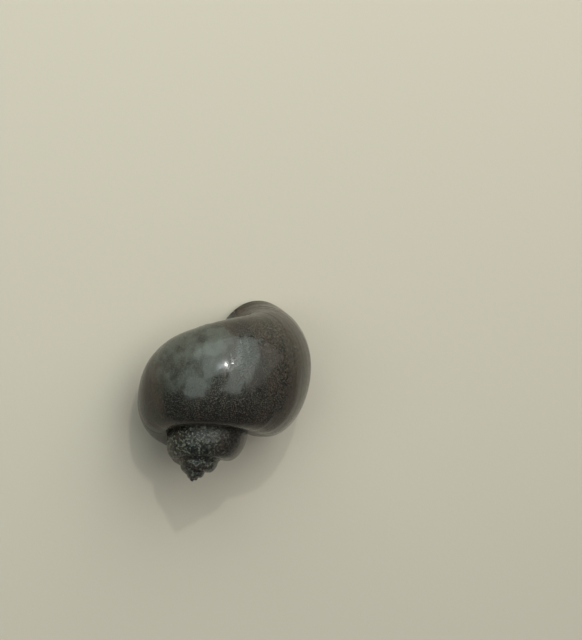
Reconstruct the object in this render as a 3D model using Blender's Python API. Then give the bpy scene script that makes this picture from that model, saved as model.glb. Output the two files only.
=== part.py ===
"""Apple snail drawn back into its shell, lying on its aperture side, life size.

Metres, +Z up, with the floor at z = 0 and the origin at the middle of the footprint.
The shell is one tube that grows by a constant factor with every turn about its axis. It is
worked out apex upwards with the apex at zero, then laid down by the empty that holds it all.
A turn is counted from the lip, so the lip is turn 0 and the apex lies towards minus five.
"""

import math

import bmesh
import bpy
import numpy as np
from mathutils import Matrix, Vector

# Growth of the tube; shares are of a turn's reach, from the axis to its furthest point
REACH = 0.0222
GROWTH = 2.144
HALF_WIDTH = 0.48
HALF_HEIGHT = 0.67
MIDDLE_RADIUS = 1.0 - HALF_WIDTH
MIDDLE_DEPTH = 1.247
SECTION_TILT = 0.152
BASE_SWELL = 0.11
SHOULDER_POWER = 2.10
BASE_POWER = 1.96
GROWTH_LINE_LEAN = 0.02
CHANNEL_DEPTH = 0.032
CHANNEL_WIDTH = 0.075
AXIS_SHARE = 0.16

# Where one named length of the tube ends and the next begins, in turns
APEX_START = -3.97
APEX_END = -3.0
SPIRE_END = -2.0
PENULTIMATE_END = -1.0
LIP_START = -0.045
OPERCULUM_TURN = -0.08

# Thicknesses and gaps
GAP = 0.0003
WALL = 0.0010
LIP_EDGE = 0.0006
LIP_ROUND = 0.0003
LIP_REFLEX = 0.0004
REFLEX_SPOT = 0.93
REFLEX_SPREAD = 0.12
OPERCULUM_THICKNESS = 0.0009
OPERCULUM_DISH = 0.0005
OPERCULUM_RIDGE = 0.00012
OPERCULUM_NUCLEUS = (-0.13, 0.05)
FLESH_RIM = 0.0007
FLESH_DEPTH = 0.0010
NUCLEUS_RADIUS = 0.00078
NUCLEUS_DEPTH = 0.00115

# The aperture's rim is parted where its outer lip turns into the columella's
LIP_PARTING = 0.80
LIP_PARTING_GAP = 0.006

# How fine each surface is
BODY_RINGS, BODY_POINTS = 40, 44
PENULTIMATE_RINGS, PENULTIMATE_POINTS = 30, 34
SPIRE_RINGS, SPIRE_POINTS = 24, 26
APEX_RINGS, APEX_POINTS = 18, 18
BORE_RINGS = 5
OUTER_LIP_POINTS, INNER_LIP_POINTS = 26, 20
OPERCULUM_RIDGES = 3
NUCLEUS_SEGMENTS, NUCLEUS_RINGS = 12, 8
COVERED_SHARE = 0.3
SUTURE_CROWDING = 1.6
HALVINGS = 24

# Angles of the section at which the searches for its two seams begin
COVERED_ANGLE = math.radians(-120)
OUTER_ANGLE = 0.0
BASE_ANGLE = math.radians(120)

# How the shell lies: turned about its own axis, tipped over, then turned on the floor
REST_SPIN = math.radians(-103.5)
REST_TIP = math.radians(-65.5)
REST_HEADING = math.radians(180)
FLAT_DEPTH = 0.00035

# Colour, roughness and metallic value of each finish
FINISHES = {
    "dark_shell": ((0.022, 0.021, 0.014), 0.28, 0.0),
    "worn_shell": ((0.030, 0.030, 0.024), 0.45, 0.0),
    "lip_shell": ((0.200, 0.120, 0.040), 0.30, 0.0),
    "horn": ((0.130, 0.070, 0.030), 0.45, 0.0),
    "flesh": ((0.060, 0.045, 0.035), 0.40, 0.0),
}


def outline(angles, inset):
    """Tube's section about its middle, outwards and down: a superellipse, wider below."""
    across, down = np.cos(angles), np.sin(angles)
    power = 2.0 / np.where(down < 0, SHOULDER_POWER, BASE_POWER)
    out = (HALF_WIDTH - inset) * np.sign(across) * np.abs(across) ** power
    out = out * (1.0 + BASE_SWELL * down)
    low = (HALF_HEIGHT - inset) * np.sign(down) * np.abs(down) ** power
    tilt_cos, tilt_sin = math.cos(SECTION_TILT), math.sin(SECTION_TILT)
    return out * tilt_cos - low * tilt_sin, out * tilt_sin + low * tilt_cos


def inside_previous(out, low, margin):
    """True where a point about the section's middle is within margin of the whorl before."""
    tilt_cos, tilt_sin = math.cos(SECTION_TILT), math.sin(SECTION_TILT)
    right = MIDDLE_RADIUS + out - MIDDLE_RADIUS / GROWTH
    under = MIDDLE_DEPTH + low - MIDDLE_DEPTH / GROWTH
    right, under = right * tilt_cos + under * tilt_sin, under * tilt_cos - right * tilt_sin
    power = np.where(under < 0, SHOULDER_POWER, BASE_POWER)
    height = HALF_HEIGHT / GROWTH + margin
    down = np.sign(under) * np.minimum(np.abs(under) / height, 1.0) ** (power / 2.0)
    width = HALF_WIDTH / GROWTH + margin
    width = width * np.sqrt(1.0 - down ** 2) ** (2.0 / power) * (1.0 + BASE_SWELL * down)
    return (np.abs(under) < height) & (np.abs(right) < width)


def seam_angle(free, covered, inset, margin):
    """Angle where the outline meets the whorl before, halved down from one either side."""
    for _ in range(HALVINGS):
        middle = (free + covered) / 2.0
        if inside_previous(*outline(middle, inset), margin):
            covered = middle
        else:
            free = middle
    return free


def clear_share(out, low, margin):
    """Share of each ray from the section's middle that ends clear of the whorl before."""
    near, far = np.zeros_like(out), np.ones_like(out)
    for _ in range(HALVINGS):
        middle = (near + far) / 2.0
        hit = inside_previous(out * middle, low * middle, margin)
        near, far = np.where(hit, near, middle), np.where(hit, middle, far)
    return np.where(inside_previous(out, low, margin), near, 1.0)


def channel(spots):
    """How far the shoulder dips beside the suture, at spots from 0 on round the outside."""
    return CHANNEL_DEPTH * np.exp(-(spots / CHANNEL_WIDTH) ** 2) * (spots < 1.0)


def ring(turn, spots, inset=0.0, back=0.0, share=1.0, core=(0.0, 0.0), swell=0.0, whole=False):
    """Ring of points round the tube at a turn, set back along it by a distance.

    Spots 0 to 1 run round the free outside from the suture to the navel, and 1 to 2 back
    along the whorl before, which the ring clears by GAP and its own inset. Share draws the
    ring in to its core. A whole ring takes no account of the whorl before.
    """
    scale = REACH * GROWTH ** turn
    depth, margin = inset / scale, (inset + GAP) / scale
    suture = seam_angle(OUTER_ANGLE, COVERED_ANGLE, depth, margin)
    navel = seam_angle(BASE_ANGLE, COVERED_ANGLE + math.tau, depth, margin)
    angles = np.interp(spots, (0.0, 1.0, 2.0), (suture, navel, suture + math.tau))
    out, low = outline(angles, depth + channel(spots) - swell / scale)
    if not whole:
        clear = clear_share(out, low, margin)
        out, low = out * clear, low * clear
    out, low = core[0] + (out - core[0]) * share, core[1] + (low - core[1]) * share
    radius = MIDDLE_RADIUS + out
    arc = np.maximum(radius, AXIS_SHARE) * scale
    turns = turn - GROWTH_LINE_LEAN * low / HALF_HEIGHT - back / (math.tau * arc)
    size = REACH * GROWTH ** turns
    azimuth = -math.tau * turns
    return np.stack([
        radius * size * np.cos(azimuth),
        radius * size * np.sin(azimuth),
        -(MIDDLE_DEPTH + low) * size,
    ], axis=1)


def ring_spots(count):
    """Spots once round the tube, closest together beside the suture."""
    covered = round(count * COVERED_SHARE)
    outside = np.linspace(0.0, 1.0, count - covered, endpoint=False) ** SUTURE_CROWDING
    inner = np.linspace(1.0, 2.0, covered, endpoint=False)
    return np.concatenate([outside, inner])


def loft(rings, first_tip, last_tip):
    """Points and faces of a closed skin over equal rings, drawn to a tip at either end."""
    count = len(rings[0])
    points = [first_tip, *np.concatenate(rings), last_tip]
    last = len(points) - 1
    faces = []
    for step in range(count):
        after = (step + 1) % count
        faces.append((0, 1 + step, 1 + after))
        for row in range(len(rings) - 1):
            near, far = 1 + row * count, 1 + (row + 1) * count
            faces.append((near + step, far + step, far + after))
            faces.append((near + step, far + after, near + after))
        top = last - count
        faces.append((last, top + after, top + step))
    return points, faces


def finish(name):
    """Principled material of one of the finishes."""
    colour, roughness, metallic = FINISHES[name]
    material = bpy.data.materials.get(name) or bpy.data.materials.new(name)
    material.use_nodes = True
    shader = material.node_tree.nodes["Principled BSDF"]
    shader.inputs["Base Color"].default_value = (*colour, 1.0)
    shader.inputs["Roughness"].default_value = roughness
    shader.inputs["Metallic"].default_value = metallic
    return material


def solid(name, finish_name, points, faces):
    """Named object of a closed skin, with its faces turned outwards."""
    mesh = bpy.data.meshes.new(name)
    surface = bmesh.new()
    corners = [surface.verts.new(point) for point in points]
    for face in faces:
        surface.faces.new([corners[index] for index in face])
    bmesh.ops.recalc_face_normals(surface, faces=surface.faces)
    surface.to_mesh(mesh)
    surface.free()
    mesh.shade_smooth()
    mesh.materials.append(finish(finish_name))
    node = bpy.data.objects.new(name, mesh)
    bpy.context.scene.collection.objects.link(node)
    return node


def whorl(name, finish_name, start, end, ring_count, point_count):
    """One turn of the shell, whose two ends face its neighbours."""
    spots = ring_spots(point_count)
    turns = np.linspace(start, end, ring_count)
    rings = [ring(turn, spots) for turn in turns[:-1]]
    rings.append(ring(end, spots, back=GAP))
    first_tip = ring(start, spots, share=0.0)[0]
    last_tip = ring(end, spots, share=0.0, back=GAP)[0]
    return solid(name, finish_name, *loft(rings, first_tip, last_tip))


def body_whorl():
    """Last and largest turn, whose tube is open at the front as far as the foot reaches in."""
    spots = ring_spots(BODY_POINTS)
    turns = np.linspace(PENULTIMATE_END, LIP_START, BODY_RINGS)
    rings = [ring(turn, spots) for turn in turns[:-1]]
    rings.append(ring(LIP_START, spots, back=GAP))
    rings.append(ring(LIP_START, spots, inset=WALL, back=GAP))
    floor = OPERCULUM_THICKNESS + FLESH_DEPTH + 3 * GAP
    for back in np.linspace(0.0, floor, BORE_RINGS):
        rings.append(ring(OPERCULUM_TURN, spots, inset=WALL, back=back))
    rings.append(ring(OPERCULUM_TURN, spots, inset=WALL, back=floor, share=0.5))
    first_tip = ring(PENULTIMATE_END, spots, share=0.0)[0]
    last_tip = ring(OPERCULUM_TURN, spots, share=0.0, back=floor)[0]
    return solid("body_whorl", "dark_shell", *loft(rings, first_tip, last_tip))


def apex():
    """Oldest whorls, worn and fused: a turn of tube over a domed nucleus, as one body."""
    spots = np.linspace(0.0, 2.0, APEX_POINTS, endpoint=False)
    turns = np.linspace(APEX_START, APEX_END, APEX_RINGS)
    rings = [ring(turn, spots, whole=True) for turn in turns[:-1]]
    rings.append(ring(APEX_END, spots, back=GAP, whole=True))
    first_tip = ring(APEX_START, spots, share=0.0, whole=True)[0]
    last_tip = ring(APEX_END, spots, share=0.0, back=GAP, whole=True)[0]
    tube = solid("apex", "worn_shell", *loft(rings, first_tip, last_tip))
    bpy.ops.mesh.primitive_uv_sphere_add(
        segments=NUCLEUS_SEGMENTS,
        ring_count=NUCLEUS_RINGS,
        radius=NUCLEUS_RADIUS,
        location=(0.0, 0.0, -NUCLEUS_DEPTH),
    )
    nucleus = bpy.context.object
    nucleus.hide_render = True
    nucleus.display_type = "WIRE"
    union = tube.modifiers.new("nucleus", "BOOLEAN")
    union.operation = "UNION"
    union.solver = "MANIFOLD"
    union.object = nucleus
    bpy.context.view_layer.objects.active = tube
    bpy.ops.object.modifier_apply(modifier=union.name)
    bpy.data.objects.remove(nucleus)
    return tube


def lip(name, first_spot, last_spot, count):
    """Stretch of the aperture's rim: a bar with a rounded edge, reflected beside the navel."""
    spots = np.linspace(first_spot, last_spot, count)
    reflex = LIP_REFLEX * np.exp(-((spots - REFLEX_SPOT) / REFLEX_SPREAD) ** 2)
    half_turn = LIP_START / 2.0
    sections = np.stack([
        ring(LIP_START, spots),
        ring(half_turn, spots, swell=reflex / 2.0),
        ring(0.0, spots, back=LIP_ROUND, swell=reflex),
        ring(0.0, spots, inset=LIP_EDGE / 2.0, swell=reflex),
        ring(0.0, spots, inset=LIP_EDGE, back=LIP_ROUND),
        ring(half_turn, spots, inset=(LIP_EDGE + WALL) / 2.0),
        ring(LIP_START, spots, inset=WALL),
    ], axis=1)
    first_tip, last_tip = sections[0].mean(axis=0), sections[-1].mean(axis=0)
    return solid(name, "lip_shell", *loft(list(sections), first_tip, last_tip))


def operculum():
    """Horny lid: a dished plate with concentric ridges about a nucleus near the columella."""
    spots = ring_spots(BODY_POINTS)
    edge = WALL + GAP + FLESH_RIM + GAP
    place = {"turn": OPERCULUM_TURN, "spots": spots, "inset": edge, "core": OPERCULUM_NUCLEUS}
    rings = [ring(back=OPERCULUM_THICKNESS, **place)]
    steps = 2 * OPERCULUM_RIDGES + 1
    for step in range(steps):
        share = 1.0 - step / steps
        dish = OPERCULUM_DISH * (1.0 - share ** 2)
        ridge = OPERCULUM_RIDGE * (-1) ** step
        rings.append(ring(back=dish + ridge, share=share, **place))
    rear_tip = ring(back=OPERCULUM_THICKNESS, share=0.0, **place)[0]
    front_tip = ring(back=OPERCULUM_DISH, share=0.0, **place)[0]
    return solid("operculum", "horn", *loft(rings, rear_tip, front_tip))


def foot():
    """Withdrawn foot behind the lid, its soft rim showing round the lid's edge."""
    spots = ring_spots(BODY_POINTS)
    outer = WALL + GAP
    seat = OPERCULUM_THICKNESS + GAP
    rear = seat + FLESH_DEPTH
    sides = [(outer, back) for back in np.linspace(rear, FLESH_RIM / 2.0, BORE_RINGS)]
    rim = [
        (outer + FLESH_RIM / 2.0, 0.0),
        (outer + FLESH_RIM, FLESH_RIM / 2.0),
        (outer + FLESH_RIM, seat),
    ]
    rings = [ring(OPERCULUM_TURN, spots, inset=outer, back=rear, share=0.5)]
    rings += [ring(OPERCULUM_TURN, spots, inset=inset, back=back) for inset, back in sides + rim]
    rear_tip = ring(OPERCULUM_TURN, spots, share=0.0, back=rear)[0]
    seat_tip = ring(OPERCULUM_TURN, spots, share=0.0, back=seat)[0]
    return solid("foot", "flesh", *loft(rings, rear_tip, seat_tip))


def grind_flat(node, plane_point, plane_normal):
    """Cuts away what would be below the floor and closes the cut with a flat face."""
    surface = bmesh.new()
    surface.from_mesh(node.data)
    cut = bmesh.ops.bisect_plane(
        surface,
        geom=surface.verts[:] + surface.edges[:] + surface.faces[:],
        plane_co=plane_point,
        plane_no=plane_normal,
        clear_inner=True,
    )
    edges = [item for item in cut["geom_cut"] if isinstance(item, bmesh.types.BMEdge)]
    if edges:
        flat = bmesh.ops.holes_fill(surface, edges=edges)
        bmesh.ops.triangulate(surface, faces=flat["faces"])
        bmesh.ops.recalc_face_normals(surface, faces=surface.faces)
    surface.to_mesh(node.data)
    surface.free()


def lay_down(nodes):
    """Lays the shell on its aperture side, on small flats at the floor's level."""
    turned = (
        Matrix.Rotation(REST_HEADING, 3, "Z")
        @ Matrix.Rotation(REST_TIP, 3, "Y")
        @ Matrix.Rotation(REST_SPIN, 3, "Z")
    )
    places = np.array([turned @ vertex.co for node in nodes for vertex in node.data.vertices])
    low, high = places.min(axis=0), places.max(axis=0)
    middle = (low + high) / 2.0
    pose = bpy.data.objects.new("rest_pose", None)
    pose.location = (-middle[0], -middle[1], -low[2] - FLAT_DEPTH)
    pose.rotation_euler = turned.to_euler()
    bpy.context.scene.collection.objects.link(pose)
    floor_normal = turned.inverted() @ Vector((0.0, 0.0, 1.0))
    floor_point = turned.inverted() @ -pose.location
    for node in nodes:
        grind_flat(node, floor_point, floor_normal)
        node.parent = pose


def main():
    for item in list(bpy.data.objects):
        bpy.data.objects.remove(item)
    nodes = [
        apex(),
        whorl("spire_whorl", "worn_shell", APEX_END, SPIRE_END, SPIRE_RINGS, SPIRE_POINTS),
        whorl(
            "penultimate_whorl", "worn_shell", SPIRE_END, PENULTIMATE_END,
            PENULTIMATE_RINGS, PENULTIMATE_POINTS,
        ),
        body_whorl(),
        lip("outer_lip", 0.0, LIP_PARTING - LIP_PARTING_GAP, OUTER_LIP_POINTS),
        lip("inner_lip", LIP_PARTING, 2.0 - 2.0 * LIP_PARTING_GAP, INNER_LIP_POINTS),
        operculum(),
        foot(),
    ]
    lay_down(nodes)


main()
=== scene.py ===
import math

import bpy
import numpy as np
from mathutils import Matrix, Vector


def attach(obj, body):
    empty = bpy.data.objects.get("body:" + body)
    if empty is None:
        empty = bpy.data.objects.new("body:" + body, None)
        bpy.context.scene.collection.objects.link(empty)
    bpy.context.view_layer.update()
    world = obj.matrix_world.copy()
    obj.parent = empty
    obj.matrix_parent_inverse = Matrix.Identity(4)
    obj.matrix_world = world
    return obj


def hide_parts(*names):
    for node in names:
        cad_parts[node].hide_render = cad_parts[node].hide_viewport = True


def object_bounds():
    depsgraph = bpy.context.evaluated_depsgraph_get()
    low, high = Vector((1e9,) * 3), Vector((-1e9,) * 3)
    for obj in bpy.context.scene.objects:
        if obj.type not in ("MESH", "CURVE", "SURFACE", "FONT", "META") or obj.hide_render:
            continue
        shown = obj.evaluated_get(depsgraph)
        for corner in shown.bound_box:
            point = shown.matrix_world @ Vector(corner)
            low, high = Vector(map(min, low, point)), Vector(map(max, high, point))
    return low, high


# An apple snail drawn back into its shell, wet from the water, lying on its aperture side.
# The shell is one tube that widens by a constant factor each turn. A turn is counted from the
# lip, which is turn 0. A spot runs 0 to 1 round the free outside of the tube, from the suture
# to the navel, and 1 to 2 back along the whorl that it covers.

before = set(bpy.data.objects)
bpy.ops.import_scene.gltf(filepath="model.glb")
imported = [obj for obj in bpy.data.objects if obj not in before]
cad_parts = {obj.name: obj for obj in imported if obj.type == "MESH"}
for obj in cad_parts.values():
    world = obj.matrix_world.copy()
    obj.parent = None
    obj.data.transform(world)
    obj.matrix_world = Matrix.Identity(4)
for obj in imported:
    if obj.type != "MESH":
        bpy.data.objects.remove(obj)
cadLow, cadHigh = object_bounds()
print("frame loaded with", len(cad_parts), "solids")


def hexColour(text):
    # Linear colour of an sRGB hex value, by the sRGB transfer curve.
    channels = [int(text[place:place + 2], 16) / 255 for place in (1, 3, 5)]
    linear = [c / 12.92 if c <= 0.04045 else ((c + 0.055) / 1.055) ** 2.4 for c in channels]
    return (*linear, 1.0)


def addNode(tree, kind, inputs=None, result=0, **settings):
    # One node with its settings. Each named input is linked to a socket or set to a value, and
    # the output that result names or numbers comes back.
    node = tree.nodes.new(kind)
    for name, value in settings.items():
        setattr(node, name, value)
    for name, value in (inputs or {}).items():
        if isinstance(value, bpy.types.NodeSocket):
            tree.links.new(value, node.inputs[name])
        else:
            node.inputs[name].default_value = value
    return node.outputs[result]


def newMaterial(name):
    # Empty material, its node tree and its output node.
    material = bpy.data.materials.new(name)
    material.use_nodes = True
    tree = material.node_tree
    tree.nodes.clear()
    return material, tree, tree.nodes.new("ShaderNodeOutputMaterial")


def smoothStep(low, high, value):
    # Nought at low, one at high, with a level start and finish.
    share = np.clip((value - low) / (high - low), 0.0, 1.0)
    return share * share * (3.0 - 2.0 * share)


# Numbers of an integer hash, and the seed of each noise
hashing = {
    "axes": (73856093, 19349663, 83492791),
    "seed": 2654435761,
    "rounds": ((15, 2246822519), (13, 3266489917)),
    "last": 16,
    "mask": 0xFFFFFFFF,
}
seeds = {
    "lineWander": 3, "wear": 5, "lines": 10, "dents": 20, "pits": 30,
    "bands": 41, "young": 44, "paintedSheen": 45,
}


def noise(places, seed):
    # Value noise from -1 to 1: hashed heights on whole-number corners, blended in between.
    corner = np.floor(places).astype(np.int64)
    part = places - corner
    blend = part * part * (3.0 - 2.0 * part)
    total = np.zeros(places.shape[:-1])
    for step in np.ndindex(2, 2, 2):
        spread = (corner + np.array(step)) * np.array(hashing["axes"])
        mixed = spread[..., 0] ^ spread[..., 1] ^ spread[..., 2]
        mixed = (mixed + seed * hashing["seed"]) & hashing["mask"]
        for shift, factor in hashing["rounds"]:
            mixed = ((mixed ^ (mixed >> shift)) * factor) & hashing["mask"]
        height = (mixed ^ (mixed >> hashing["last"])) / hashing["mask"] * 2.0 - 1.0
        weight = np.prod(np.where(step, blend, 1.0 - blend), axis=-1)
        total += height * weight
    return total


# The tube of the shell, in shares of its reach
tube = {
    "reach": 0.0222,          # metres from the axis to the lip's furthest point
    "growth": 2.144,          # how many times larger each turn is
    "halfWidth": 0.48,        # of the section, outwards
    "halfHeight": 0.67,       # of the section, along the axis
    "middleDepth": 1.247,     # section's middle below the apex
    "tilt": 0.152,            # section's lean, radians
    "baseSwell": 0.11,        # how much wider the section is at its base
    "shoulderPower": 2.10,    # superellipse power above the middle
    "basePower": 1.96,        # and below it
    "growthLean": 0.02,       # turns by which a growth line lags from its base to its shoulder
    "channelDepth": 0.032,    # groove beside the suture
    "channelWidth": 0.075,    # in spots
    "axisShare": 0.16,        # least radius used for distances along the tube
    "seamGap": 0.00009,       # metres between a whorl and the one that it covers
    "sutureSearch": (0.0, math.radians(-120)),                 # from free to covered
    "navelSearch": (math.radians(120), math.radians(240)),
    "halvings": 24,
}
middleRadius = 1.0 - tube["halfWidth"]
tiltCos, tiltSin = math.cos(tube["tilt"]), math.sin(tube["tilt"])


def outline(angles, inset):
    # Superellipse about the section's middle, outwards and down: a power of the cosine across
    # and of the sine along the axis, wider below, then tilted.
    across, down = np.cos(angles), np.sin(angles)
    power = 2.0 / np.where(down < 0, tube["shoulderPower"], tube["basePower"])
    out = (tube["halfWidth"] - inset) * np.sign(across) * np.abs(across) ** power
    out = out * (1.0 + tube["baseSwell"] * down)
    low = (tube["halfHeight"] - inset) * np.sign(down) * np.abs(down) ** power
    return out * tiltCos - low * tiltSin, out * tiltSin + low * tiltCos


def insidePrevious(out, low, margin):
    # True where a point about the section's middle is within margin of the whorl before:
    # the same superellipse, one growth factor smaller and nearer the apex.
    right = middleRadius + out - middleRadius / tube["growth"]
    under = tube["middleDepth"] + low - tube["middleDepth"] / tube["growth"]
    right, under = right * tiltCos + under * tiltSin, under * tiltCos - right * tiltSin
    power = np.where(under < 0, tube["shoulderPower"], tube["basePower"])
    height = tube["halfHeight"] / tube["growth"] + margin
    down = np.sign(under) * np.minimum(np.abs(under) / height, 1.0) ** (power / 2.0)
    width = tube["halfWidth"] / tube["growth"] + margin
    width = width * np.sqrt(1.0 - down ** 2) ** (2.0 / power) * (1.0 + tube["baseSwell"] * down)
    return (np.abs(under) < height) & (np.abs(right) < width)


def seamAngle(free, covered, inset, margin):
    # Angle at which the outline meets the whorl before, halved down from either side.
    free, covered = np.full_like(margin, free), np.full_like(margin, covered)
    for _ in range(tube["halvings"]):
        middle = (free + covered) / 2.0
        hit = insidePrevious(*outline(middle, inset), margin)
        free, covered = np.where(hit, free, middle), np.where(hit, middle, covered)
    return free


def clearShare(out, low, margin):
    # Share of each ray from the section's middle that ends clear of the whorl before.
    near, far = np.zeros_like(out), np.ones_like(out)
    for _ in range(tube["halvings"]):
        middle = (near + far) / 2.0
        hit = insidePrevious(out * middle, low * middle, margin)
        near, far = np.where(hit, near, middle), np.where(hit, middle, far)
    return np.where(insidePrevious(out, low, margin), near, 1.0)


def tubePoints(turns, spots, inset=0.0, back=0.0, share=1.0, core=(0.0, 0.0), swell=0.0):
    # Grid of points, a row for each turn and a column for each spot: the outline at its angle,
    # kept off the whorl before, drawn in to its core by share, scaled by growth to the turn,
    # set back along the tube by a distance, and wound about the axis.
    turns, spots, inset, back, share, swell = np.broadcast_arrays(
        *[np.asarray(item, float) for item in (turns, spots, inset, back, share, swell)]
    )
    scale = tube["reach"] * tube["growth"] ** turns
    depth, margin = inset / scale, (inset + tube["seamGap"]) / scale
    suture = seamAngle(*tube["sutureSearch"], depth, margin)
    navel = seamAngle(*tube["navelSearch"], depth, margin)
    free = suture + (navel - suture) * spots
    covered = navel + (suture + math.tau - navel) * (spots - 1.0)
    angles = np.where(spots <= 1.0, free, covered)
    groove = tube["channelDepth"] * np.exp(-(spots / tube["channelWidth"]) ** 2) * (spots < 1.0)
    out, low = outline(angles, depth + groove - swell / scale)
    clear = clearShare(out, low, margin)
    out, low = out * clear, low * clear
    out, low = core[0] + (out - core[0]) * share, core[1] + (low - core[1]) * share
    radius = middleRadius + out
    arc = np.maximum(radius, tube["axisShare"]) * scale
    wound = turns - tube["growthLean"] * low / tube["halfHeight"] - back / (math.tau * arc)
    size = tube["reach"] * tube["growth"] ** wound
    return np.stack([
        radius * size * np.cos(-math.tau * wound),
        radius * size * np.sin(-math.tau * wound),
        -(tube["middleDepth"] + low) * size,
    ], axis=-1)


tinyLength = 1e-12    # keeps a division from failing


def gridNormals(points):
    # Outward unit normals of a grid that closes round its columns: the cross product of the
    # differences along the two directions.
    around = np.roll(points, -1, axis=1) - np.roll(points, 1, axis=1)
    along = np.gradient(points, axis=0)
    normals = np.cross(along, around)
    return normals / np.maximum(np.linalg.norm(normals, axis=-1, keepdims=True), tinyLength)


def crowdedSpots(count, coveredShare=0.22, crowding=1.35):
    # Spots once round the tube, closest together beside the suture.
    covered = round(count * coveredShare)
    outside = np.linspace(0.0, 1.0, count - covered, endpoint=False) ** crowding
    return np.concatenate([outside, np.linspace(1.0, 2.0, covered, endpoint=False)])


# How the shell lies, the same as its solids
rest = {
    "spin": math.radians(-103.5),    # about its own axis
    "tip": math.radians(-65.5),      # from apex up to lying over
    "heading": math.radians(180),    # on the floor
}
restTurn = np.array(
    Matrix.Rotation(rest["heading"], 3, "Z")
    @ Matrix.Rotation(rest["tip"], 3, "Y")
    @ Matrix.Rotation(rest["spin"], 3, "Z")
)


def solidMesh(name, points, normals, closed, poles, attributes, slots):
    # Piece made of a grid that closes round its columns. Its rows end in two poles, or run on
    # from the last to the first where closed. Attributes are one value for each grid point.
    rows, columns = points.shape[:2]
    index = np.arange(rows * columns).reshape(rows, columns)
    after = np.roll(index, -1, axis=1)
    low, high = (index, np.roll(index, -1, axis=0)) if closed else (index[:-1], index[1:])
    lowAfter, highAfter = (after, np.roll(after, -1, axis=0)) if closed else (after[:-1], after[1:])
    faces = np.stack([low, high, highAfter, lowAfter], axis=-1).reshape(-1, 4).tolist()
    coordinates = points.reshape(-1, 3)
    directions = normals.reshape(-1, 3)
    values = {key: value.reshape(-1) for key, value in attributes.items()}
    if not closed:
        first, last = rows * columns, rows * columns + 1
        faces += np.stack([np.full(columns, first), index[0], after[0]], axis=-1).tolist()
        faces += np.stack([np.full(columns, last), after[-1], index[-1]], axis=-1).tolist()
        coordinates = np.concatenate([coordinates, poles])
        ends = np.stack([normals[0].mean(axis=0), normals[-1].mean(axis=0)])
        ends = ends / np.maximum(np.linalg.norm(ends, axis=-1, keepdims=True), tinyLength)
        directions = np.concatenate([directions, ends])
        values = {key: np.concatenate([value, value[[0, -1]]]) for key, value in values.items()}
    coordinates = coordinates @ restTurn.T + restShift
    coordinates[:, 2] = np.maximum(coordinates[:, 2], 0.0)
    mesh = bpy.data.meshes.new(name)
    mesh.from_pydata(coordinates.tolist(), [], faces)
    for key, value in values.items():
        attribute = mesh.attributes.new(key, "FLOAT", "POINT")
        attribute.data.foreach_set("value", value.astype(np.float32))
    for material in slots:
        mesh.materials.append(material)
    mesh.shade_smooth()
    mesh.normals_split_custom_set_from_vertices((directions @ restTurn.T).tolist())
    piece = bpy.data.objects.new(name, mesh)
    bpy.context.scene.collection.objects.link(piece)
    return piece


# Fine relief of the shell's outside, heights and lengths in metres
relief = {
    "lineSpacings": (0.0042, 0.0019, 0.0008),      # growth lines, coarse to fine
    "lineHeights": (0.000055, 0.000050, 0.000024),
    "lineReach": 0.011,                            # how far a line keeps its strength
    "dentSpacings": (0.0075, 0.0031),
    "dentHeights": (0.00009, 0.00003),
    "pitSpacings": (0.0014, 0.0007, 0.0004),       # worn places of the spire
    "pitHeights": (0.00013, 0.00009, 0.00005),
    "wornTurns": (-1.02, -1.40),                   # where wear begins and where it is full
    "wornWander": (0.12, 0.004),                   # in turns, and its size
    "lineWander": (0.0009, 0.006),                 # of the growth lines, and its size
    "pitLevel": 0.35,                              # how much of the worn skin still stands
    "fullTurn": -2.2,                              # older than this, pits shrink with the whorl
    "wornLines": 0.5,                              # share of the growth lines that wear removes
    "acrossShare": 2.6,                            # length round the free outside, in reaches
    "sutureFade": (0.0, 0.05),                     # spots over which the relief fades
    "navelFade": (1.0, 0.93),
}


def shellRelief(points, turns, spots):
    # Heights along the normals: growth lines are noise along the tube's length, dents are
    # noise in space, pits are deep folds of noise where the shell is worn. All of them fade
    # beside the seams and where the whorl is covered.
    length = tube["reach"] * tube["growth"] ** turns * math.tau / math.log(tube["growth"])
    across = tube["reach"] * tube["growth"] ** turns * relief["acrossShare"] * spots
    height = np.zeros(points.shape[:2])
    wander = relief["lineWander"][0] * noise(points / relief["lineWander"][1], seeds["lineWander"])
    for seed, (spacing, tall) in enumerate(zip(relief["lineSpacings"], relief["lineHeights"])):
        place = np.stack([(length + wander) / spacing, across / relief["lineReach"], 0 * length], -1)
        height += tall * noise(place, seeds["lines"] + seed)
    for seed, (spacing, tall) in enumerate(zip(relief["dentSpacings"], relief["dentHeights"])):
        height += tall * noise(points / spacing, seeds["dents"] + seed)
    wornTurn = turns + relief["wornWander"][0] * noise(points / relief["wornWander"][1], seeds["wear"])
    wear = smoothStep(*relief["wornTurns"], wornTurn)
    pits = np.zeros_like(height)
    for seed, (spacing, tall) in enumerate(zip(relief["pitSpacings"], relief["pitHeights"])):
        folds = np.abs(noise(points / spacing, seeds["pits"] + seed))
        pits += tall * (relief["pitLevel"] - folds)
    small = np.minimum(tube["growth"] ** (turns - relief["fullTurn"]), 1.0)
    height = height * (1.0 - relief["wornLines"] * wear) + pits * wear * small
    seams = smoothStep(*relief["sutureFade"], spots) * smoothStep(*relief["navelFade"], spots)
    return height * seams, wear, length, across


# Worn-down tip of the spire: its grooves are filled out to a cone
cone = {
    "slope": 0.90,             # radius over depth below the apex, beside the suture
    "shingle": 0.05,           # how much less it is one spot further down
    "softness": 0.05,
    "turns": (-1.70, -2.30),   # where the cone begins and where it is full
    "spots": (0.62, 0.42),
}


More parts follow.
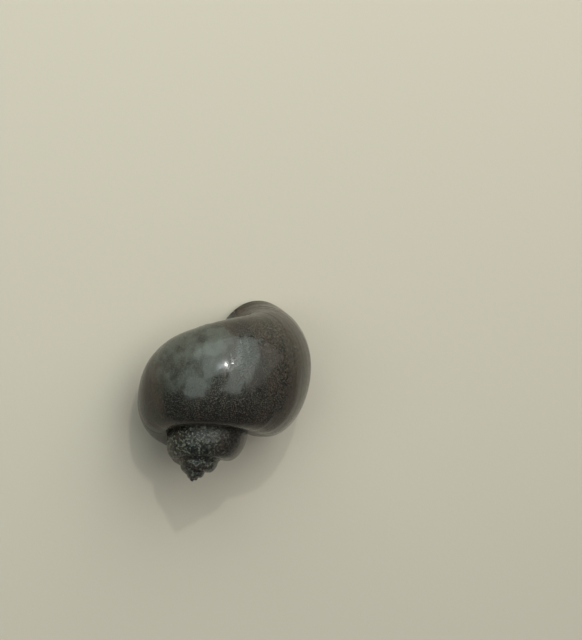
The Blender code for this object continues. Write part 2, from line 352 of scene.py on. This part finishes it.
def fillToCone(points, turns, spots):
    # Moves points outwards to the larger of their radius and the cone's, by a smooth maximum.
    radius = np.hypot(points[..., 0], points[..., 1])
    depth = -points[..., 2]
    wanted = (cone["slope"] - cone["shingle"] * spots) * depth
    larger = (radius + wanted + np.hypot(radius - wanted, cone["softness"] * depth)) / 2.0
    share = smoothStep(*cone["turns"], turns) * smoothStep(*cone["spots"], spots)
    factor = 1.0 + share * (larger / np.maximum(radius, tinyLength) - 1.0)
    return points * np.stack([factor, factor, np.ones_like(factor)], axis=-1)


# Rings of each named length of the shell
shell = {
    "points": 226,             # round each ring
    "apexTurn": -4.9,
    "spireEnd": -1.0,
    "lipStart": -0.045,
    "mouthTurn": -0.08,        # where the lid sits
    "spireRings": 400,
    "bodyRings": 340,
    "lipRings": 26,
    "edgeRings": 9,
    "boreRings": 26,
    "wall": 0.0010,
    "lipEdge": 0.0006,
    "lipRound": 0.0003,
    "lipReflex": 0.0010,       # how far the lip turns out beside the navel
    "reflexSpot": 0.93,
    "reflexSpread": 0.12,
    "boreDepth": 0.0028,
    "lipRelief": 0.2,          # share of the relief that is left at the lip's edge
}


def shellRows():
    # Rows of the whole shell from apex to lip, over the lip's rounded edge and back down the
    # bore, with the turn, inset, set-back and swell of each row, and where each length ends.
    spots = crowdedSpots(shell["points"])
    spire = np.linspace(shell["apexTurn"], shell["spireEnd"], shell["spireRings"])
    body = np.linspace(shell["spireEnd"], shell["lipStart"], shell["bodyRings"])[1:]
    lip = np.linspace(shell["lipStart"], 0.0, shell["lipRings"])[1:]
    outer = np.concatenate([spire, body, lip])
    bend = np.linspace(0.0, math.pi, shell["edgeRings"] + 2)[1:-1]
    inner = np.linspace(0.0, shell["lipStart"], shell["lipRings"])
    bore = np.linspace(shell["lipStart"], shell["mouthTurn"], shell["boreRings"])[1:]
    deep = np.linspace(0.0, shell["boreDepth"], shell["boreRings"])[1:]
    turns = np.concatenate([outer, 0 * bend, inner, bore, np.full(len(deep), shell["mouthTurn"])])
    edge = shell["lipEdge"] * (1.0 - np.cos(bend)) / 2.0
    wall = np.interp(inner, (shell["lipStart"], 0.0), (shell["wall"], shell["lipEdge"]))
    inset = np.concatenate([
        0 * outer, edge, wall, np.full(len(bore) + len(deep), shell["wall"])
    ])
    front = np.where(outer > shell["lipStart"], outer / shell["lipStart"], 1.0)
    rounded = shell["lipRound"] * np.concatenate([
        1.0 - np.clip(front, 0.0, 1.0), 1.0 - np.sin(bend), 1.0 - inner / shell["lipStart"]
    ])
    back = np.concatenate([rounded, 0 * bore, deep])
    openness = np.concatenate([
        1.0 - np.clip(front, 0.0, 1.0), (1.0 + np.cos(bend)) / 2.0,
        0 * inner, 0 * bore, 0 * deep,
    ])
    away = (spots - shell["reflexSpot"]) / shell["reflexSpread"]
    reflex = shell["lipReflex"] * np.exp(-away ** 2)
    points = tubePoints(
        turns[:, None], spots[None, :], inset[:, None], back[:, None],
        swell=openness[:, None] * reflex[None, :],
    )
    points = fillToCone(points, turns[:, None], spots[None, :])
    ends = np.cumsum([len(spire), len(body), len(lip), len(bend), len(inner)])
    return points, turns, spots, ends


rowPoints, rowTurns, columnSpots, rowEnds = shellRows()
spireRows, bodyRows, lipRows, edgeRows, innerRows = rowEnds
turnGrid = np.broadcast_to(rowTurns[:, None], rowPoints.shape[:2])
spotGrid = np.broadcast_to(columnSpots[None, :], rowPoints.shape[:2])
laid = rowPoints.reshape(-1, 3) @ restTurn.T
restShift = np.array([
    (cadLow[0] + cadHigh[0] - laid[:, 0].min() - laid[:, 0].max()) / 2.0,
    (cadLow[1] + cadHigh[1] - laid[:, 1].min() - laid[:, 1].max()) / 2.0,
    cadHigh[2] - laid[:, 2].max(),
])
print("shell worked out, lowest point at", round(1e3 * (laid[:, 2].min() + restShift[2]), 3), "mm")

heights, wearGrid, lengthGrid, acrossGrid = shellRelief(rowPoints, turnGrid, spotGrid)
outside = np.arange(len(rowTurns)) < edgeRows
heights = heights * outside[:, None]
edgeFade = smoothStep(0.0, shell["lipStart"], turnGrid)
edgeFade = shell["lipRelief"] + (1.0 - shell["lipRelief"]) * edgeFade
smooth = gridNormals(rowPoints)
carved = rowPoints + smooth * (heights * edgeFade)[..., None]
carvedNormals = gridNormals(carved)
print("relief carved, from", round(1e6 * heights.min()), "to", round(1e6 * heights.max()), "microns")


def layerColours(tree, colour, layers):
    # Each layer's colour goes over the ones before it by the product of its two shares. The
    # node that mixes takes its colours at inputs 6 and 7 and gives one at output 2.
    for first, second, over in layers:
        share = addNode(tree, "ShaderNodeMath", {0: first, 1: second}, operation="MULTIPLY")
        over = hexColour(over) if isinstance(over, str) else over
        colour = addNode(tree, "ShaderNodeMix", {0: share, 6: colour, 7: over}, 2, data_type="RGBA")
    return colour


def finishMaterial(material, tree, output, inputs):
    # Shader with the given inputs, joined to the output.
    shader = addNode(tree, "ShaderNodeBsdfPrincipled", inputs, "BSDF")
    tree.links.new(shader, output.inputs["Surface"])
    return material


# Periostracum: the horny skin of a living apple snail's shell, laid down wet in growth lines
# and kept wet here. To the eye it is nearly black, olive and purplish brown by turns, with
# pale grit in it, a sheen that breaks up at its grains, and a thin film of water.
skin = {
    "black": "#0c0b08",
    "olive": "#1d1a14",
    "brown": "#271a15",
    "young": "#31251e",      # towards the lip
    "speck": "#5a5345",
    "paintedSheen": "#3f413c",       # painted sheen: lighter grey-green on the upper left, standing in for reflected light there
    "wornDark": "#090a07",
    "wornPale": "#5c5c50",
    "wornBrown": "#2c1f18",
    # Clouds: size in metres, detail, the two heights of the step, and its least and most share
    "clouds": {
        "patch": (0.0085, 3.0, (0.40, 0.62), (0.0, 1.0)),    # warm patches of tone
        "mottle": (0.0008, 3.0, (0.42, 0.62), (0.0, 1.0)),
        "grain": (0.0002, 2.0, (0.51, 0.66), (0.0, 1.0)),    # drawn coarse enough to show
        "thin": (0.0036, 5.0, (0.36, 0.60), (0.2, 0.8)),     # gaps in the painted sheen
        "pit": (0.0006, 4.0, (0.50, 0.62), (0.0, 1.0)),      # of the worn spire
    },
    "grainHeight": 0.00003,
    "striae": 0.00045,       # metres between the finest growth lines
    "striaeStretch": 0.006,  # metres along one of them
    "striaeHeight": 0.00001,
    "pitHeight": 0.0002,
    "specks": 0.36,
    "wornShare": 0.85,
    "roughness": (0.12, 0.22),
    "ior": 1.42,
    "film": 0.1,
    "filmRoughness": 0.06,
}
waterIor = 1.33
cloudRoughness = 0.6


def makePeriostracum():
    # Shares are noise passed through smooth steps, and values that the mesh holds. Tone runs
    # from black by growth lines, patches, age, painted sheen and grains to the worn spire's, by wear.
    # Grains, pits and the finest lines also lift the surface, and the water film is a coat.
    material, tree, output = newMaterial("wetPeriostracum")
    place = addNode(tree, "ShaderNodeTexCoord", result="Object")
    held = {
        name: addNode(tree, "ShaderNodeAttribute", result="Fac", attribute_name=name)
        for name in ("wear", "youth", "paintedSheen", "growthTone", "growthLength", "acrossLength")
    }
    clouds, shares = {}, {}
    for name, (size, detail, (low, high), (least, most)) in skin["clouds"].items():
        clouds[name] = addNode(tree, "ShaderNodeTexNoise", {
            "Vector": place, "Scale": 1.0 / size, "Detail": detail, "Roughness": cloudRoughness,
        })
        shares[name] = addNode(tree, "ShaderNodeMapRange", {
            "Value": clouds[name],
            "From Min": low, "From Max": high, "To Min": least, "To Max": most,
        }, interpolation_type="SMOOTHSTEP")
    warm = layerColours(tree, hexColour(skin["olive"]), [(shares["patch"], 1.0, skin["brown"])])
    worn = layerColours(tree, hexColour(skin["wornDark"]), [
        (shares["pit"], 1.0, skin["wornPale"]),
        (shares["patch"], shares["mottle"], skin["wornBrown"]),
    ])
    colour = layerColours(tree, hexColour(skin["black"]), [
        (held["growthTone"], 1.0, warm),
        (held["youth"], shares["mottle"], skin["young"]),
        # painted sheen: lighter grey-green over the upper left, broken by gaps, in place of reflected
        # light
        (held["paintedSheen"], shares["thin"], skin["paintedSheen"]),
        (shares["grain"], skin["specks"], skin["speck"]),
        (held["wear"], skin["wornShare"], worn),
    ])
    lines = [
        addNode(tree, "ShaderNodeMath", {0: held[name], 1: 1.0 / spacing}, operation="MULTIPLY")
        for name, spacing in (("growthLength", skin["striae"]), ("acrossLength", skin["striaeStretch"]))
    ]
    flow = addNode(tree, "ShaderNodeCombineXYZ", {"X": lines[0], "Y": lines[1]})
    striae = addNode(tree, "ShaderNodeTexNoise", {
        "Vector": flow, "Scale": 1.0, "Detail": 2.0, "Roughness": cloudRoughness,
    })
    pits = addNode(tree, "ShaderNodeMath", {0: clouds["pit"], 1: held["wear"]}, operation="MULTIPLY")
    lined = addNode(tree, "ShaderNodeBump", {"Height": striae, "Distance": skin["striaeHeight"]})
    pitted = addNode(tree, "ShaderNodeBump", {
        "Height": pits, "Distance": skin["pitHeight"], "Normal": lined,
    })
    grainy = addNode(tree, "ShaderNodeBump", {
        "Height": shares["grain"], "Distance": skin["grainHeight"], "Normal": pitted,
    })
    roughness = addNode(tree, "ShaderNodeMapRange", {
        "Value": shares["mottle"], "To Min": skin["roughness"][0], "To Max": skin["roughness"][1],
    }, interpolation_type="SMOOTHSTEP")
    return finishMaterial(material, tree, output, {
        "Base Color": colour, "Roughness": roughness, "IOR": skin["ior"], "Normal": grainy,
        "Coat Weight": skin["film"], "Coat Roughness": skin["filmRoughness"],
        "Coat IOR": waterIor, "Coat Normal": pitted,
    })


# Shell lining: smooth porcelain-like lime inside the aperture, grown and never weathered.
# To the eye it is glossy, bluish lilac over brown, with the rim a thin pale line.
lining = {
    "deep": "#3f3a44", "rim": "#8a7350", "roughness": 0.16, "ior": 1.58,
    "patch": 0.004, "detail": 3.0, "gain": 2.0,
}


def makeLining():
    # Colour runs from the deep lilac to the pale rim by noise times nearness to the rim.
    material, tree, output = newMaterial("porcelainShellLining")
    place = addNode(tree, "ShaderNodeTexCoord", result="Object")
    rim = addNode(tree, "ShaderNodeAttribute", result="Fac", attribute_name="rim")
    clouds = addNode(tree, "ShaderNodeTexNoise", {
        "Vector": place, "Scale": 1.0 / lining["patch"], "Detail": lining["detail"],
    })
    doubled = addNode(
        tree, "ShaderNodeMath", {0: clouds, 1: lining["gain"]}, operation="MULTIPLY",
    )
    colour = layerColours(tree, hexColour(lining["deep"]), [(rim, doubled, lining["rim"])])
    return finishMaterial(material, tree, output, {
        "Base Color": colour, "Roughness": lining["roughness"], "IOR": lining["ior"],
    })


# Horn of the lid: conchiolin grown in rings about a nucleus, tough and slightly translucent.
# To the eye it is dull red-brown with fine dark rings.
horn = {
    "light": "#6b4526", "dark": "#2b1a10", "ring": 0.00042, "cloud": 0.003,
    "tones": (0.75, 1.25), "height": 0.00003, "roughness": 0.42, "ior": 1.54,
    "film": 0.4, "filmRoughness": 0.12,
}


def makeHorn():
    # Rings are noise along the distance from the nucleus, added to noise in space; bump
    # follows the rings.
    material, tree, output = newMaterial("grownHornLid")
    place = addNode(tree, "ShaderNodeTexCoord", result="Object")
    length = addNode(tree, "ShaderNodeAttribute", result="Fac", attribute_name="ringLength")
    count = addNode(tree, "ShaderNodeMath", {0: length, 1: 1.0 / horn["ring"]}, operation="MULTIPLY")
    flow = addNode(tree, "ShaderNodeCombineXYZ", {"X": count})
    rings = addNode(tree, "ShaderNodeTexNoise", {
        "Vector": flow, "Scale": 1.0, "Detail": 3.0, "Roughness": cloudRoughness,
    })
    clouds = addNode(tree, "ShaderNodeTexNoise", {
        "Vector": place, "Scale": 1.0 / horn["cloud"], "Detail": 4.0,
    })
    both = addNode(tree, "ShaderNodeMath", {0: rings, 1: clouds}, operation="ADD")
    share = addNode(tree, "ShaderNodeMapRange", {
        "Value": both, "From Min": horn["tones"][0], "From Max": horn["tones"][1],
    })
    colour = layerColours(tree, hexColour(horn["dark"]), [(share, 1.0, horn["light"])])
    bump = addNode(tree, "ShaderNodeBump", {"Height": rings, "Distance": horn["height"]})
    return finishMaterial(material, tree, output, {
        "Base Color": colour, "Roughness": horn["roughness"], "IOR": horn["ior"], "Normal": bump,
        "Coat Weight": horn["film"], "Coat Roughness": horn["filmRoughness"], "Coat IOR": waterIor,
    })


# Flesh of the drawn-in foot: wet living skin, mottled dark grey on greyish cream. To the eye
# it is soft and slimy, with light let a little way in.
flesh = {
    "dark": "#201c1a", "light": "#6d6355", "spot": 0.0006, "spots": (0.45, 0.62),
    "height": 0.00006, "roughness": 0.34, "ior": 1.4, "depth": (0.0012, 0.0006, 0.0004),
    "glow": 0.1, "film": 0.8, "filmRoughness": 0.08,
}


def makeFlesh():
    # Mottling is stepped noise at the size of the skin's spots; the water film is a coat.
    material, tree, output = newMaterial("wetSnailFlesh")
    place = addNode(tree, "ShaderNodeTexCoord", result="Object")
    mottle = addNode(tree, "ShaderNodeTexNoise", {
        "Vector": place, "Scale": 1.0 / flesh["spot"], "Detail": 4.0,
    })
    share = addNode(tree, "ShaderNodeMapRange", {
        "Value": mottle, "From Min": flesh["spots"][0], "From Max": flesh["spots"][1],
    })
    colour = layerColours(tree, hexColour(flesh["dark"]), [(share, 1.0, flesh["light"])])
    bump = addNode(tree, "ShaderNodeBump", {"Height": mottle, "Distance": flesh["height"]})
    return finishMaterial(material, tree, output, {
        "Base Color": colour, "Roughness": flesh["roughness"], "IOR": flesh["ior"], "Normal": bump,
        "Subsurface Weight": flesh["glow"], "Subsurface Radius": flesh["depth"],
        "Subsurface Scale": 1.0, "Coat Weight": flesh["film"],
        "Coat Roughness": flesh["filmRoughness"], "Coat IOR": waterIor,
    })


periostracum = makePeriostracum()
porcelain = makeLining()

# Where the skin changes tone, in metres and turns
tones = {
    "bands": ((0.0032, 0.02), (0.0011, 0.03)),      # growth bands: spacing and length along them
    "bandGain": 1.6,
    "rimReach": 1.2,                                # of the lip's length
    # Painted sheen: a patch of lighter skin about a place in metres, standing in for reflected light
    "paintedSheenPlace": (-0.0090, -0.0145, 0.0176),
    "paintedSheenReach": (0.0110, 0.0068),                  # from the painted sheen's middle to bare and to full
    "paintedSheenWander": (0.0014, 0.0028),                 # of its edge, and the wander's size
    "young": (-0.34, -0.12),                        # turns
    "youngWander": (0.05, 0.006),
}


def toneShares():
    # Grids of shares: growth bands are a product of noises along the tube's length, painted
    # sheen is a step of the distance from its middle, youth and rim are steps of the turn.
    bands = np.ones_like(lengthGrid)
    for seed, (spacing, along) in enumerate(tones["bands"]):
        place = np.stack([lengthGrid / spacing, acrossGrid / along, 0 * lengthGrid], -1)
        bands = bands * (0.5 + 0.5 * noise(place, seeds["bands"] + seed))
    # Painted sheen: lighter near the patch's middle, its edge made to wander by noise
    reach = np.linalg.norm(carved @ restTurn.T + restShift - tones["paintedSheenPlace"], axis=-1)
    strayed, size = tones["paintedSheenWander"]
    reach = reach + strayed * noise(carved / size, seeds["paintedSheen"])
    strayed, size = tones["youngWander"]
    young = turnGrid + strayed * noise(carved / size, seeds["young"])
    return {
        "growthTone": np.clip(bands * tones["bandGain"], 0.0, 1.0),
        "wear": wearGrid,
        "rim": smoothStep(shell["lipStart"] * tones["rimReach"], 0.0, turnGrid),
        "youth": smoothStep(*tones["young"], young),
        "paintedSheen": smoothStep(*tones["paintedSheenReach"], reach),
        "growthLength": lengthGrid,
        "acrossLength": acrossGrid,
    }


shellShares = toneShares()


def shellPiece(name, rows, closed, poles, slots, inner=None):
    # Named length of the shell made of the given rows of the grid.
    attributes = {key: grid[rows] for key, grid in shellShares.items()}
    piece = solidMesh(name, carved[rows], carvedNormals[rows], closed, poles, attributes, slots)
    if inner is not None:
        columns = carved.shape[1]
        marks = np.zeros(len(piece.data.polygons), np.int32)
        marks[inner * columns:] = 1
        piece.data.polygons.foreach_set("material_index", marks)
    return piece


def sectionMiddle(turn, back=0.0):
    # Middle of the tube's section at a turn.
    return tubePoints(turn, [[0.5]], share=0.0, back=back)[0, 0]


spire = shellPiece(
    "spire", np.arange(spireRows), False,
    [sectionMiddle(shell["apexTurn"]), sectionMiddle(shell["spireEnd"])], [periostracum],
)
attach(spire, "root")
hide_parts("apex", "spire_whorl", "penultimate_whorl")

bodyOuter = np.arange(spireRows - 1, bodyRows)
bodyInner = np.arange(innerRows - 1, len(rowTurns))
body = shellPiece(
    "bodyWhorl", np.concatenate([bodyOuter, bodyInner]), False,
    [sectionMiddle(shell["spireEnd"]), sectionMiddle(shell["mouthTurn"], shell["boreDepth"])],
    [periostracum, porcelain], len(bodyOuter) - 1,
)
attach(body, "root")
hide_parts("body_whorl")

lip = shellPiece(
    "lip", np.arange(bodyRows - 1, innerRows), True, None,
    [periostracum, porcelain], lipRows + shell["edgeRings"] // 2 - bodyRows + 1,
)
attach(lip, "root")
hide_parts("outer_lip", "inner_lip")
print("shell made of", sum(len(piece.data.polygons) for piece in (spire, body, lip)), "faces")


# Lid of the shell, metres, and its nucleus in reaches from the section's middle
lid = {
    "points": 150,
    "rings": 90,
    "gap": 0.0003,
    "edge": 0.0023,               # from the outside of the shell to the lid's edge
    "thickness": 0.0009,
    "edgeBacks": (1.0, 0.6, 0.25),    # the edge's rings, in thicknesses behind its front
    "edgeRound": 0.3,             # of the gap
    "dish": 0.0005,
    "ridges": 15,
    "ridgeHeight": 0.00005,
    "ridgeWaves": ((0.03, 1.5), (0.02, 4.0)),    # how far a ridge strays, and how often
    "rimFade": (1.0, 0.94),
    "ringSpan": 0.008,
    "nucleus": (-0.13, 0.05),
}


def makeLid():
    # Dished plate: rings drawn in to the nucleus, each set back by a parabola and by ridges
    # that are waves along the distance from the nucleus; its back is flat.
    spots = crowdedSpots(lid["points"])[None, :]
    share = np.linspace(1.0, 0.0, lid["rings"], endpoint=False)[:, None]
    stray = 1.0 + sum(tall * np.sin(math.tau * spots * count) for tall, count in lid["ridgeWaves"])
    wave = lid["ridgeHeight"] * np.sin(math.tau * lid["ridges"] * share * stray) * share ** 0.5
    front = lid["dish"] * (1.0 - share ** 2) + wave * smoothStep(*lid["rimFade"], share)
    edgeBack = lid["thickness"] * np.array(lid["edgeBacks"])[:, None]
    bulge = np.sin(np.linspace(0.0, math.pi, len(edgeBack) + 2))[1:-1, None]
    rounded = lid["gap"] * (1.0 - bulge) * lid["edgeRound"]
    back = np.concatenate([edgeBack + 0 * spots, front + 0 * spots])
    inset = np.concatenate([lid["edge"] + rounded + 0 * spots, lid["edge"] + 0 * front])
    shares = np.concatenate([np.ones_like(edgeBack) + 0 * spots, share + 0 * spots])
    points = tubePoints(shell["mouthTurn"], spots, inset, back, shares, lid["nucleus"])
    poles = [
        tubePoints(shell["mouthTurn"], [[0.5]], lid["edge"], depth, 0.0, lid["nucleus"])[0, 0]
        for depth in (lid["thickness"], lid["dish"])
    ]
    piece = solidMesh(
        "hornLid", points, gridNormals(points), False, poles,
        {"ringLength": lid["ringSpan"] * shares}, [makeHorn()],
    )
    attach(piece, "root")
    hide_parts("operculum")


# Cushion of flesh behind the lid, metres
foot = {
    "rim": 0.0007,
    "depth": 0.0010,
    "folds": (0.25, 17, 3.3),     # height in rims, and how many of two waves once round
    "sideRings": 8,
    "bendRings": 9,
    "seatStep": 0.6,              # of the way from the rim to the seat
    "poleShare": 0.5,
}


def makeFoot():
    # Its side follows the bore, its rim swells forward round the lid in folds that are the
    # product of two waves, and its seat is behind the lid.
    spots = crowdedSpots(lid["points"])[None, :]
    outer = shell["wall"] + lid["gap"]
    seat = lid["thickness"] + lid["gap"]
    rear = seat + foot["depth"]
    bend = np.linspace(0.0, math.pi, foot["bendRings"])[:, None]
    tall, many, few = foot["folds"]
    folds = 1.0 + tall * np.sin(math.tau * many * spots) * np.sin(math.tau * few * spots)
    rimInset = outer + foot["rim"] * (1.0 - np.cos(bend)) / 2.0 + 0 * spots
    rimBack = foot["rim"] / 2.0 * (1.0 - np.sin(bend) * folds)
    side = np.linspace(rear, foot["rim"] / 2.0, foot["sideRings"], endpoint=False)[:, None]
    inset = np.concatenate([outer + 0 * side + 0 * spots, rimInset, rimInset[-1:], rimInset[-1:]])
    back = np.concatenate([
        side + 0 * spots, rimBack, seat * foot["seatStep"] + 0 * spots, seat + 0 * spots,
    ])
    points = np.concatenate([
        tubePoints(shell["mouthTurn"], spots, outer, rear, foot["poleShare"]),
        tubePoints(shell["mouthTurn"], spots, inset, back),
        tubePoints(shell["mouthTurn"], spots, rimInset[-1:], seat, foot["poleShare"]),
    ])
    poles = [sectionMiddle(shell["mouthTurn"], depth) for depth in (rear, seat)]
    piece = solidMesh("footPlug", points, gridNormals(points), False, poles, {}, [makeFlesh()])
    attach(piece, "root")
    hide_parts("foot")


makeLid()
makeFoot()
print("lid and foot made")


# Plain pale board under the shell, large enough for any view: painted wood fibre, which to the
# eye is matt and even, with a faint tooth
ground = {"size": 6.0, "colour": "#a99d91", "roughness": 0.85, "tooth": 0.00111, "toothHeight": 0.00002}


def makeFloor():
    # Flat square, level with the shell's flats; its tooth is noise.
    half = ground["size"] / 2.0
    corners = [(-half, -half, 0), (half, -half, 0), (half, half, 0), (-half, half, 0)]
    mesh = bpy.data.meshes.new("floor")
    mesh.from_pydata(corners, [], [(0, 1, 2, 3)])
    material, tree, output = newMaterial("matteBoard")
    place = addNode(tree, "ShaderNodeTexCoord", result="Object")
    tooth = addNode(tree, "ShaderNodeTexNoise", {
        "Vector": place, "Scale": 1.0 / ground["tooth"], "Detail": 3.0,
    })
    bump = addNode(tree, "ShaderNodeBump", {"Height": tooth, "Distance": ground["toothHeight"]})
    mesh.materials.append(finishMaterial(material, tree, output, {
        "Base Color": hexColour(ground["colour"]), "Roughness": ground["roughness"], "Normal": bump,
    }))
    floor = bpy.data.objects.new("floor", mesh)
    bpy.context.scene.collection.objects.link(floor)


makeFloor()

# Studio light: broad panels on the far side and one small hard lamp, as degrees about the
# shell: azimuth from +X, elevation, half the width and half the height that the shell sees
lamps = {
    "panelFar": {"place": (172, 46), "half": (15, 40), "radiance": 4.2, "colour": "#dcebe3"},
    "panelDim": {"place": (140, 38), "half": (17, 30), "radiance": 1.5, "colour": "#e6e0d6"},
    "panelSide": {"place": (208, 26), "half": (27, 30), "radiance": 4.0, "colour": "#dcebe3"},
    "panelNear": {"place": (270, 45), "half": (14, 16), "radiance": 4.0, "colour": "#dcebe3"},
    "glare": {"place": (207, 46), "half": (6, 4), "radiance": 4.5, "colour": "#c4e2f2"},
    "key": {"place": (204, 47), "half": (0.8, 0.8), "radiance": 900.0, "colour": "#f6f4ee"},
}
lampDistance = 0.7    # metres
surround = {"colour": "#8f959a", "strength": 0.48}


def makeLamps():
    # Each area lamp stands off the shell in its direction, faces it, and has the energy that
    # gives its radiance: radiance times area times pi.
    for name, lamp in lamps.items():
        azimuth, elevation = [math.radians(angle) for angle in lamp["place"]]
        away = Vector((
            math.cos(azimuth) * math.cos(elevation),
            math.sin(azimuth) * math.cos(elevation),
            math.sin(elevation),
        ))
        data = bpy.data.lights.new(name, "AREA")
        data.shape = "RECTANGLE"
        data.size, data.size_y = [
            2.0 * lampDistance * math.tan(math.radians(half)) for half in lamp["half"]
        ]
        data.energy = lamp["radiance"] * data.size * data.size_y * math.pi
        data.color = hexColour(lamp["colour"])[:3]
        lampObject = bpy.data.objects.new(name, data)
        lampObject.location = away * lampDistance
        lampObject.rotation_euler = away.to_track_quat("Z", "Y").to_euler()
        bpy.context.scene.collection.objects.link(lampObject)
    world = bpy.data.worlds.new("studio")
    world.use_nodes = True
    background = world.node_tree.nodes["Background"]
    background.inputs["Color"].default_value = hexColour(surround["colour"])
    background.inputs["Strength"].default_value = surround["strength"]
    bpy.context.scene.world = world
    bpy.context.scene.view_settings.view_transform = "Standard"


makeLamps()

# The photograph's camera, metres and pixels of a 582 by 640 picture
view = {
    "place": (-0.08781964, -0.16272588, 0.42887973),
    "target": (-0.00052492, -0.00345298, 0.00930377),    # this point of the shell
    "targetPixel": (209.08, 382.92),                     # is seen here
    "across": (-0.30532609, 0.90960642, 0.28176616),     # the picture's right, seen at the target
    "picture": (582, 640),
    "focalPixels": 2192.42,
    "sensor": 36.0,          # millimetres
    "clipStart": 0.01,
}


def makeCamera():
    # Aimed so that the target falls on its pixel with no shift: the axis is turned from the
    # target by the pixel's offset from the picture's middle.
    place, across = Vector(view["place"]), Vector(view["across"])
    back = (place - Vector(view["target"])).normalized()
    up = back.cross(across).normalized()
    across = up.cross(back)
    offset = [view["picture"][i] / 2 - view["targetPixel"][i] for i in (0, 1)]
    axis = back * view["focalPixels"] - across * offset[0] + up * offset[1]
    axis = axis.normalized()
    up = (up - axis * up.dot(axis)).normalized()
    across = up.cross(axis)
    data = bpy.data.cameras.new("camera")
    data.sensor_width = view["sensor"]
    data.lens = view["focalPixels"] * view["sensor"] / max(view["picture"])
    data.clip_start = view["clipStart"]
    camera = bpy.data.objects.new("camera", data)
    camera.matrix_world = Matrix((
        (across.x, up.x, axis.x, place.x),
        (across.y, up.y, axis.y, place.y),
        (across.z, up.z, axis.z, place.z),
        (0, 0, 0, 1),
    ))
    bpy.context.scene.collection.objects.link(camera)
    bpy.context.scene.camera = camera


makeCamera()
print("floor, lamps and camera set")
